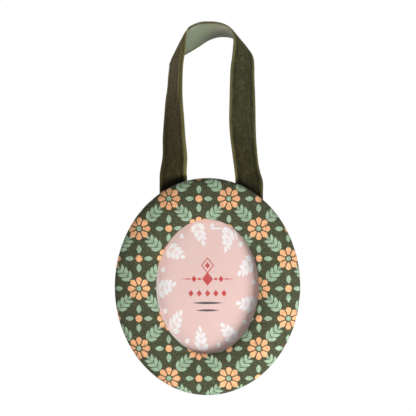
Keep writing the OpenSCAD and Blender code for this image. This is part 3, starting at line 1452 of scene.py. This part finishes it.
@dataclass
class PaddedFront:
    """Wadding and printed cloth over the front board.

    The cloth is held at its sides and turn-ins, starts a little below its height, and is swelled
    over the uneven wadding by cloth simulation.
    """

    sizes: FrameSizes
    pull: Pull = Pull()
    start_below: float = 0.2
    hollow_depth: float = 0.14
    hollow_size: float = 11.0
    gather_depth: float = 0.1
    gather_height: Pair = (0.9, 2.4)
    gather_inset: float = 2.0
    gathers: int = 74
    gather_drift: float = 9.0
    arch_steps: int = 44
    wadding_steps: int = 36
    bend_steps: int = 5
    under_cloth: float = 0.03
    over_board: float = 0.01
    held_past_foot: float = 0.05

    @property
    def halves(self) -> Pair:
        """Half the width and height of the oval."""
        return self.sizes.half_width, self.sizes.half_height

    def _high(self, row: Pair) -> float:
        """How high a point is on the padding, from 0 at the board to 1 at the crown."""
        foot, crown = self.sizes.board_front, self.sizes.crown
        return max(0.0, min(1.0, (row[1] - foot) / (crown - foot)))

    def _fill(self, row: Pair, angle: float) -> float:
        """How full the wadding is at a point, about 0 on the mean, since no wadding is even.

        Args:
            row: Inset and out of the point.
            angle: Where it is round the oval.

        Returns:
            The fullness, from about -1 to 1.
        """
        across = (self.halves[0] - row[0]) * math.cos(angle)
        up = (self.halves[1] - row[0]) * math.sin(angle)
        return noise.noise(Vector((across / self.hollow_size, up / self.hollow_size, 0.4)))

    def _sink(self, row: Pair, angle: float) -> Vector:
        """Movement of a point before the cloth is stretched: the wadding's hollows, in millimetres.

        Args:
            row: Inset and out of the point.
            angle: Where it is round the oval.

        Returns:
            The movement.
        """
        slack = self.start_below
        depth = slack - self.hollow_depth * self._fill(row, angle)
        return Vector((0.0, depth * self._high(row), 0.0))

    def _gathered(self, row: Pair, angle: float) -> Vector:
        """Movement of a point where the cloth is drawn into gathers round the outer edge.

        Args:
            row: Inset and out of the point.
            angle: Where it is round the oval.

        Returns:
            The movement in millimetres.
        """
        height, reach = self.gather_height
        low = max(0.0, 1 - abs(row[1] - self.sizes.front_back - height) / reach)
        low *= row[0] < self.gather_inset
        uneven = noise.noise(Vector((math.cos(angle) * 6, math.sin(angle) * 6, 2.7)))
        wave = 0.5 + 0.5 * math.sin(angle * self.gathers + self.gather_drift * uneven)
        off = -self.gather_depth * low * wave * (0.6 + uneven)
        return Vector((math.cos(angle), 0.0, math.sin(angle))) * off

    def section(self) -> tuple[list[Pair], int]:
        """The cloth's outer face, from its outer turn-in to the one at the opening.

        Returns:
            The rows, and the number of the row at the crown.
        """
        sizes, steps = self.sizes, self.bend_steps
        bend, back, border = sizes.bend, sizes.front_back, sizes.border
        outer = [(sizes.outer_turn_in / share, back) for share in (1, 2)]
        inner = [(border - sizes.inner_turn_in / share, back) for share in (2, 1)]
        rise = sizes.arch_foot - back - bend
        side = [(0.0, back + bend + rise * k / 3) for k in (1, 2)]
        inner_side = [(border, out) for _, out in reversed(side)]
        before = outer + quarter((bend, back + bend), bend, 270.0, steps) + side
        after = quarter((border - bend, back + bend), bend, 0.0, steps) + inner
        arch = sizes.arch(sizes.cloth, self.arch_steps)
        return before + arch + inner_side + after, len(before) + self.arch_steps // 2

    def build_cover(self) -> None:
        """Makes the cloth, dresses it and puts it in place."""
        rows, crown = self.section()
        cloth = OvalSheet("printed_cover", self.halves, rows)
        reach = cloth.reach(crown, 0.0)
        crown_oval = tuple(half - rows[crown][0] for half in self.halves)
        cloth.lay_flat(crown_oval, reach)
        cloth.shape(lambda row, angle: self._gathered(row, angle) + self._sink(row, angle))
        cloth.face_out()
        self._stretch(cloth)
        piece = cloth.piece
        piece.data.materials.append(PrintedCotton().material())
        thicken(piece, self.sizes.cloth, -1.0)
        hand_over(piece, "front_cover")
        cut, hole = (tuple(oval + far for oval in crown_oval) for far in (reach[0], reach[-1]))
        declare_stretched(cut, hole)

    def _stretch(self, cloth: OvalSheet) -> None:
        """Swells the cloth under the wadding's pressure, no point further than the cap.

        Args:
            cloth: The cloth's outer face, not yet thick.
        """
        piece = cloth.piece
        before = [(vertex.co.copy(), vertex.normal.copy()) for vertex in piece.data.vertices]
        held = piece.vertex_groups.new(name="held")
        filled = piece.vertex_groups.new(name="filled")
        foot = self.sizes.arch_foot + self.held_past_foot
        for k in range(len(before)):
            row = cloth.rows[cloth.row_of(k)]
            fullness = self._fill(row, cloth.angle(k))
            held.add([k], float(row[1] <= foot), "REPLACE")
            filled.add([k], self.pull.weight(fullness, self._high(row)), "REPLACE")
        self.pull.run(piece, held.name, filled.name)
        largest = 0.0
        for vertex, (start, normal) in zip(piece.data.vertices, before):
            largest = max(largest, (vertex.co - start).dot(normal))
            vertex.co = start + self.pull.capped(vertex.co - start, normal)
        piece.vertex_groups.clear()
        LOG.info("cloth swelled by up to %.2f mm", largest / MM)

    def build_padding(self) -> None:
        """Makes the wadding, dresses it and puts it in place."""
        sizes = self.sizes
        foot = sizes.board_front + self.over_board
        insets = (sizes.border - sizes.cloth, sizes.border / 2, sizes.cloth)
        rows = sizes.arch(-self.under_cloth, self.wadding_steps) + [(inset, foot) for inset in insets]
        wadding = OvalSheet("padding", self.halves, rows, PLAIN_SIDES)
        wadding.close()
        wadding.shape(self._sink)
        wadding.face_out()
        piece = wadding.piece
        piece.data.materials.append(Wadding().material())
        hand_over(piece, "front_padding")


@dataclass
class CoveredBack:
    """Plain cloth over the back board.

    The insets are those of the rings from the back's edge to near its middle, in millimetres.
    """

    sizes: FrameSizes
    insets: tuple[float, ...] = (3.0, 8.0, 15.0, 23.0, 31.0, 37.0, 39.5)
    bend_steps: int = 5

    def section(self) -> tuple[list[Pair], int]:
        """The cloth's outer face, from its turn-in round the edge to the middle of the back.

        Returns:
            The rows, and the number of the row where the flat of the back starts.
        """
        bend, top = self.sizes.bend, self.sizes.back_thickness
        turn_in = [(self.sizes.outer_turn_in / share, top) for share in (1, 2)]
        over = quarter((bend, top - bend), bend, 180.0, self.bend_steps)[::-1]
        under = quarter((bend, bend), bend, 270.0, self.bend_steps)[::-1]
        before = turn_in + over + under
        return before + [(inset, 0.0) for inset in self.insets], len(before) - 1

    def build(self) -> None:
        """Makes the cloth, dresses it and puts it in place."""
        halves = (self.sizes.back_half_width, self.sizes.back_half_height)
        rows, edge = self.section()
        cloth = OvalSheet("back_cloth", halves, rows, PLAIN_SIDES)
        cloth.fill()
        reach = cloth.reach(edge, -rows[edge][0])
        cloth.lay_flat(halves, reach)
        cloth.face_out()
        piece = cloth.piece
        piece.data.materials.append(PlainCotton().material())
        thicken(piece, self.sizes.cloth, -1.0)
        hand_over(piece, "back_cover")
        cut = tuple(half + reach[0] for half in halves)
        declare_stretched(cut, (0.0, 0.0))


@dataclass(frozen=True)
class RibbonLoop:
    """The velvet ribbon: flat tails behind the front, and a loop that twists over its top.

    The places are those of the CAD source. Each has a share of the loop's width from the middle, a
    share of a height, a share of the ribbon's width out from the tails, and the direction across
    the ribbon from its back edge to its front edge, in ribbon widths.
    """

    oval: Pair
    front_back: float
    glue: float = 0.05
    tail_length: float = 15.5
    width: float = 12.7
    thickness: float = 0.9
    loop_height: float = 72.0
    loop_width: float = 34.8
    bow_height: float = 36.0
    cup: float = 0.25
    left_tail: tuple[Pair, ...] = ((-0.45, 1.00), (-0.45, 0.50), (-0.45, 0.07))
    right_tail: tuple[Pair, ...] = ((0.55, 0.13), (0.55, 0.50), (0.55, 1.00))
    left_strand: tuple[Place, ...] = (
        (-0.45, 0.08, 0.02, (0.96, 0.00, 0.27)),
        (-0.43, 0.28, 0.05, (0.88, 0.00, 0.47)),
        (-0.44, 0.51, 0.09, (0.81, 0.00, 0.58)),
        (-0.44, 0.76, 0.12, (0.71, 0.00, 0.70)),
        (-0.44, 1.00, 0.14, (0.60, 0.03, 0.80)),
    )
    bow: tuple[Place, ...] = (
        (-0.43, 0.83, 0.17, (0.53, 0.15, 0.84)),
        (-0.42, 0.64, 0.18, (0.52, 0.36, 0.86)),
        (-0.40, 0.49, 0.17, (0.56, 0.63, 0.84)),
        (-0.39, 0.38, 0.16, (0.58, 0.88, 0.81)),
        (-0.36, 0.30, 0.14, (0.54, 1.07, 0.82)),
        (-0.28, 0.26, 0.14, (0.50, 1.16, 0.66)),
        (-0.17, 0.21, 0.16, (0.45, 1.08, 0.66)),
        (-0.05, 0.17, 0.18, (0.39, 0.87, 0.78)),
        (0.07, 0.13, 0.20, (0.26, 0.60, 0.83)),
        (0.19, 0.12, 0.20, (0.09, 0.42, 0.90)),
        (0.31, 0.15, 0.21, (-0.13, 0.35, 0.94)),
        (0.40, 0.22, 0.21, (-0.36, 0.38, 0.93)),
        (0.45, 0.31, 0.21, (-0.58, 0.39, 0.88)),
        (0.47, 0.40, 0.20, (-0.72, 0.35, 0.75)),
        (0.47, 0.52, 0.18, (-0.80, 0.27, 0.62)),
        (0.46, 0.67, 0.15, (-0.86, 0.18, 0.50)),
    )
    right_strand: tuple[Place, ...] = (
        (0.46, 0.95, 0.12, (-0.93, 0.06, 0.39)),
        (0.46, 0.72, 0.10, (-0.95, 0.00, 0.31)),
        (0.47, 0.52, 0.09, (-0.93, 0.00, 0.35)),
        (0.49, 0.33, 0.06, (-0.90, 0.00, 0.43)),
        (0.51, 0.17, 0.04, (-0.89, 0.00, 0.45)),
        (0.53, 0.06, 0.02, (-0.93, 0.02, 0.34)),
    )
    steps: int = 10
    columns: int = 16
    pile_share: float = 0.86
    selvedge_thickness: float = 0.55
    flat_end: float = 30.0

    @property
    def tail_out(self) -> float:
        """How far out the middle of the tails lies, glued behind the front."""
        return self.front_back - self.glue - self.thickness / 2

    def _placed(self, place: Place, foot: float, height: float) -> tuple[Vector, Vector]:
        """The middle of the ribbon and half the way across it at a place, in right, up and out.

        Args:
            place: The place.
            foot: Where its height starts.
            height: The height that it has a share of.

        Returns:
            The middle and half the way across, in millimetres.
        """
        share, up, out, across = place
        middle = Vector((share * self.loop_width, foot + up * height, self.tail_out + out * self.width))
        return middle, Vector(across) * (self.width / 2)

    def places(self) -> list[tuple[Vector, Vector]]:
        """All places from the left tail to the right one.

        Returns:
            The middle and half the way across at each.
        """
        top = self.oval[1]
        strand = self.loop_height - self.bow_height

        def tail(row: Pair, side: float) -> tuple[Vector, Vector]:
            """A place in a tail, whose front edge lies on a side of it."""
            return self._placed((row[0], row[1], 0.0, (side, 0.0, 0.0)), top, -self.tail_length)

        return (
            [tail(row, 1.0) for row in self.left_tail]
            + [self._placed(place, top, strand) for place in self.left_strand]
            + [self._placed(place, top + self.loop_height, -self.bow_height) for place in self.bow]
            + [self._placed(place, top, strand) for place in self.right_strand]
            + [tail(row, -1.0) for row in self.right_tail]
        )

    def path(self) -> list[tuple[Vector, Vector]]:
        """The places and the smooth curve between them.

        Returns:
            The middle and half the way across at each ring.
        """
        places = self.places()
        last = len(places) - 1
        fine = []
        for k in range(last):
            near = [places[max(0, min(last, k + j))] for j in (-1, 0, 1, 2)]
            for step in range(self.steps):
                share = step / self.steps
                fine.append(tuple(smooth([place[part] for place in near], share) for part in (0, 1)))
        return fine + [places[last]]

    def build(self) -> None:
        """Cuts the flat ribbon, bends it to its path, dresses it and puts it in place."""
        path = self.path()
        reach = [0.0]
        for (before, _), (after, _) in zip(path, path[1:]):
            reach.append(reach[-1] + (after - before).length)
        bpy.ops.object.select_all(action="DESELECT")
        bpy.ops.mesh.primitive_grid_add(x_subdivisions=self.columns, y_subdivisions=len(path) - 1, size=2)
        piece = bpy.context.object
        piece.name = "velvet_ribbon"
        self._bend(piece, path, reach)
        half = self.width / 2
        body = piece.vertex_groups.new(name="body")
        flat = piece.data.uv_layers.active
        for loop in piece.data.loops:
            in_pile = abs(flat.data[loop.index].uv.x) / half < self.pile_share
            body.add([loop.vertex_index], 1.0 if in_pile else self.selvedge_thickness, "REPLACE")
        piece.data.materials.append(VelvetPile(half, self.oval).material())
        piece.data.materials.append(SatinBack(half).material())
        thicken(piece, self.thickness, 0.0, "body")
        hand_over(piece, "ribbon")
        cut = (self.width * MM, reach[-1] * MM)
        LOG.info("ribbon cut %.1f by %.0f mm", self.width, reach[-1])

    def _bend(
        self, piece: bpy.types.Object, path: Sequence[tuple[Vector, Vector]], reach: Sequence[float]
    ) -> None:
        """Moves the flat grid's points to the path.

        Args:
            piece: The grid, two units wide and long.
            path: The middle and half the way across at each ring.
            reach: How far along the ribbon each ring is, in millimetres.
        """
        last = len(path) - 1
        flat = {}
        for vertex in piece.data.vertices:
            share = vertex.co.x
            ring = round((vertex.co.y + 1) / 2 * last)
            middle, across = path[ring]
            along = path[min(last, ring + 1)][0] - path[max(0, ring - 1)][0]
            outward = along.cross(across).normalized()
            from_end = min(reach[ring], reach[-1] - reach[ring])
            ends = min(1.0, from_end / self.flat_end)
            hollow = self.cup * (1 - share * share) * ends
            point = middle + across * share - outward * hollow
            flat[vertex.index] = (share * self.width / 2, reach[ring])
            vertex.co = Vector((point.x, -point.z, point.y)) * MM
        layer = piece.data.uv_layers.active
        for loop in piece.data.loops:
            layer.data[loop.index].uv = flat[loop.vertex_index]


def smooth(points: Sequence[Vector], share: float) -> Vector:
    """A point on the smooth curve through four points, between the second and the third.

    Args:
        points: The four points.
        share: The share of the way from the second to the third.

    Returns:
        The point.
    """
    a, b, c, d = points
    square, cube = share * share, share * share * share
    ends = 2 * b + (c - a) * share
    return 0.5 * (ends + (2 * a - 5 * b + 4 * c - d) * square + (3 * b - a - 3 * c + d) * cube)


def cut_plate(name: str, halves: Pair, back: float, thickness: float, edge: float) -> bpy.types.Object:
    """Cuts an oval plate out of flat stock, with slightly rounded edges.

    Args:
        name: The piece's name.
        halves: Half its width and height.
        back: How far out its back face is.
        thickness: Its thickness.
        edge: How far its edges are rounded. All are in millimetres.

    Returns:
        The plate.
    """
    plate = add_oval(name, halves, back, FINE_SIDES, "NGON")
    bpy.ops.mesh.extrude_region_move(TRANSFORM_OT_translate={"value": (0, -thickness * MM, 0)})
    bpy.ops.mesh.select_all(action="SELECT")
    bpy.ops.mesh.normals_make_consistent(inside=False)
    bpy.ops.object.mode_set(mode="OBJECT")
    if edge > 0:
        bevel = plate.modifiers.new("edges", "BEVEL")
        bevel.width = edge * MM
        bevel.segments = 2
        bevel.limit_method = "ANGLE"
        bevel.angle_limit = math.radians(60)
        apply_all(plate)
    return plate


def cut_out(piece: bpy.types.Object, cutter: bpy.types.Object) -> None:
    """Takes the space of a cutter out of a piece and removes the cutter.

    Args:
        piece: The piece.
        cutter: The cutter.
    """
    boolean = piece.modifiers.new("opening", "BOOLEAN")
    boolean.operation = "DIFFERENCE"
    boolean.solver = "EXACT"
    boolean.object = cutter
    apply_all(piece)
    bpy.data.objects.remove(cutter, do_unlink=True)


@dataclass
class Inside:
    """The flat pieces between the covers: window, card, spacer and back board.

    The front board stays as its CAD node, since the padding and the cloth hide it. A film of air
    keeps the window's back face off the card.
    """

    opening: Pair
    pocket_play: float = 0.5
    board_edge: float = 0.12
    card_edge: float = 0.03
    window_edge: float = 0.04
    air: float = 0.04
    cutter_past: float = 1.0
    slot_cutter: Pair = (20.0, 100.0)
    smooth: float = 10.0

    def build(self) -> None:
        """Makes and dresses each piece."""
        board = Greyboard().material()
        self._plate("back_board", "grey_back_board", board, self.board_edge)
        self._spacer(board)
        card = PrintedCard(*self.opening).material()
        self._plate("insert_card", "printed_insert", card, self.card_edge)
        film = ClearFilm(*self.opening).material()
        self._plate("window", "clear_window", film, self.window_edge, self.air)
        front_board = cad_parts["front_board"]
        front_board.data.materials.clear()
        front_board.data.materials.append(board)
        LOG.info("front_board: stays as its CAD node")

    def _oval(self, node: str) -> tuple[Pair, float, float]:
        """Half the width and height of a node, how far out its back is, and its thickness."""
        low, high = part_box(node)
        return (high.x / MM, -low.z / MM), -high.y / MM, (high.y - low.y) / MM

    def _plate(
        self, node: str, name: str, material: bpy.types.Material, edge: float, air: float = 0.0
    ) -> None:
        """Makes the oval plate that stands for a node, and dresses it.

        Args:
            node: The CAD node.
            name: The plate's name.
            material: Its finish.
            edge: How far its edges are rounded, in millimetres.
            air: How far its back face stands off what is behind it, in millimetres.
        """
        halves, back, thickness = self._oval(node)
        plate = cut_plate(name, halves, back + air, thickness - air, edge)
        plate.data.materials.append(material)
        hand_over(plate, node, self.smooth)

    def _spacer(self, board: bpy.types.Material) -> None:
        """Makes the U-shaped spacer, which leaves a pocket for the card open at the top.

        Args:
            board: Its finish.
        """
        halves, back, thickness = self._oval("pocket_spacer")
        spacer = cut_plate("grey_spacer", halves, back, thickness, self.board_edge)
        pocket = tuple(half + self.pocket_play for half in self._oval("window")[0])
        past = self.cutter_past
        cut_out(spacer, cut_plate("pocket_cutter", pocket, back - past, thickness + 2 * past, 0.0))
        deep, high = (length * MM for length in self.slot_cutter)
        bpy.ops.object.select_all(action="DESELECT")
        bpy.ops.mesh.primitive_cube_add(size=1.0)
        slot = bpy.context.object
        bpy.ops.object.mode_set(mode="EDIT")
        bpy.ops.transform.resize(value=(2 * pocket[0] * MM, deep, high), center_override=(0, 0, 0))
        bpy.ops.transform.translate(value=(0, 0, high / 2))
        bpy.ops.object.mode_set(mode="OBJECT")
        cut_out(spacer, slot)
        spacer.data.materials.clear()
        spacer.data.materials.append(board)
        hand_over(spacer, "pocket_spacer", self.smooth)


@dataclass(frozen=True)
class Lamp:
    """A soft square lamp that points at the middle of the frame.

    The level is how bright it makes a white surface that faces it, from 0 to 1. The distance and
    size are in metres.
    """

    name: str
    direction: Triple
    distance: float
    size: float
    level: float

    def build(self) -> None:
        """Adds the lamp, at its distance from the middle of the frame."""
        towards = Vector(self.direction).normalized()
        light = bpy.data.lights.new(self.name, "AREA")
        light.size = self.size
        light.energy = self.level * (math.pi * self.distance) ** 2
        lamp = bpy.data.objects.new(self.name, light)
        bpy.context.scene.collection.objects.link(lamp)
        lamp.location = towards * self.distance
        lamp.rotation_euler = (-towards).to_track_quat("-Z", "Y").to_euler()


@dataclass(frozen=True)
class Studio:
    """Camera, lamps, backdrop and floor.

    The photograph looks straight at the frame, and its own middle stands above the oval's. A pixel
    and the plane it is measured in are in millimetres, and the room's own sizes are in metres.
    """

    photo_pixels: int = 416
    pixel: float = 0.4585
    oval_column: float = 207.5
    oval_row: float = 286.5
    plane_out: float = 6.0
    sensor: float = 36.0
    distance: float = 1.6
    board_size: float = 8.0
    backdrop_place: Triple = (0.0, 2.6, 0.5)
    floor_place: Triple = (0.0, 0.0, -0.45)
    floor_white: float = 0.8
    matt: Colour = (0.85, 0.85, 0.85, 1.0)
    world_level: float = 0.18
    lamps: tuple[Lamp, ...] = (
        Lamp("key_lamp", (0.61, -0.67, -0.42), 0.36, 0.18, 1.18),
        Lamp("side_lamp", (-0.85, -0.8, 0.0), 0.9, 0.5, 0.24),
        Lamp("back_lamp", (-0.55, 1.0, 0.5), 0.9, 0.5, 0.6),
    )

    def build(self) -> None:
        """Sets up the view."""
        bpy.context.scene.view_settings.view_transform = "Standard"
        self._camera()
        for lamp in self.lamps:
            lamp.build()
        self._world()
        backdrop = self._board("backdrop", "backdrop_white", 1.0, self.backdrop_place, math.pi / 2)
        floor = self._board("floor", "floor_pale", self.floor_white, self.floor_place, 0.0)

    def _camera(self) -> None:
        """Adds the camera at the photograph's viewing angle."""
        data = bpy.data.cameras.new("camera")
        data.sensor_width = self.sensor
        field = self.photo_pixels * self.pixel * MM
        data.lens = self.sensor * self.distance / field
        data.dof.use_dof = False
        camera = bpy.data.objects.new("camera", data)
        bpy.context.scene.collection.objects.link(camera)
        aside = (self.photo_pixels / 2 - self.oval_column) * self.pixel * MM
        above = (self.oval_row - self.photo_pixels / 2) * self.pixel * MM
        camera.location = (aside, -self.plane_out * MM - self.distance, above)
        camera.rotation_euler = (math.pi / 2, 0.0, 0.0)
        bpy.context.scene.camera = camera

    def _seen(self, tree: Tree) -> Value:
        """1 for rays that come from the camera, a gloss or a clear piece, else 0.

        Args:
            tree: The nodes of the material or world.

        Returns:
            The value.
        """
        path = tree.add("ShaderNodeLightPath").outputs
        camera, gloss, clear = (
            Value(tree, path[f"Is {kind} Ray"]) for kind in ("Camera", "Glossy", "Transmission")
        )
        return tree.least(camera + gloss + clear, 1.0)

    def _world(self) -> None:
        """Makes a white world that lights the object at a low level."""
        world = bpy.data.worlds.new("studio")
        bpy.context.scene.world = world
        tree = Tree(world)
        level = tree.ramp(self._seen(tree), 0.0, 1.0, self.world_level, 1.0)
        background = tree.add("ShaderNodeBackground", None, {"Color": WHITE, "Strength": level})
        tree.add("ShaderNodeOutputWorld", None, {"Surface": background.outputs[0]})

    def _board(self, name: str, finish: str, white: float, place: Triple, turn: float) -> bpy.types.Object:
        """Adds a wide matt board that the camera sees as an even white.

        Args:
            name: The board's name.
            finish: Its material's name.
            white: The share of pure white in its looks.
            place: Where its middle is.
            turn: How far it is turned up round X.

        Returns:
            The board.
        """
        tree = Tree.of(finish)
        matt = tree.add("ShaderNodeBsdfDiffuse", None, {"Color": self.matt})
        glow = tree.add("ShaderNodeEmission", None, {"Color": WHITE})
        bpy.ops.object.select_all(action="DESELECT")
        bpy.ops.mesh.primitive_plane_add(size=self.board_size, location=place, rotation=(turn, 0, 0))
        board = bpy.context.object
        board.name = name
        board.data.materials.append(tree.mix(matt, glow, self._seen(tree) * white))
        return board


def main() -> None:
    """Builds the pieces in order and reports each."""
    logging.basicConfig(level=logging.INFO, format="%(name)s: %(message)s")
    sizes = FrameSizes.from_cad()
    Studio().build()
    front = PaddedFront(sizes)
    front.build_padding()
    front.build_cover()
    CoveredBack(sizes).build()
    RibbonLoop((sizes.half_width, sizes.half_height), sizes.front_back).build()
    Inside((sizes.half_width - sizes.border, sizes.half_height - sizes.border)).build()


if __name__ == "__main__":
    main()
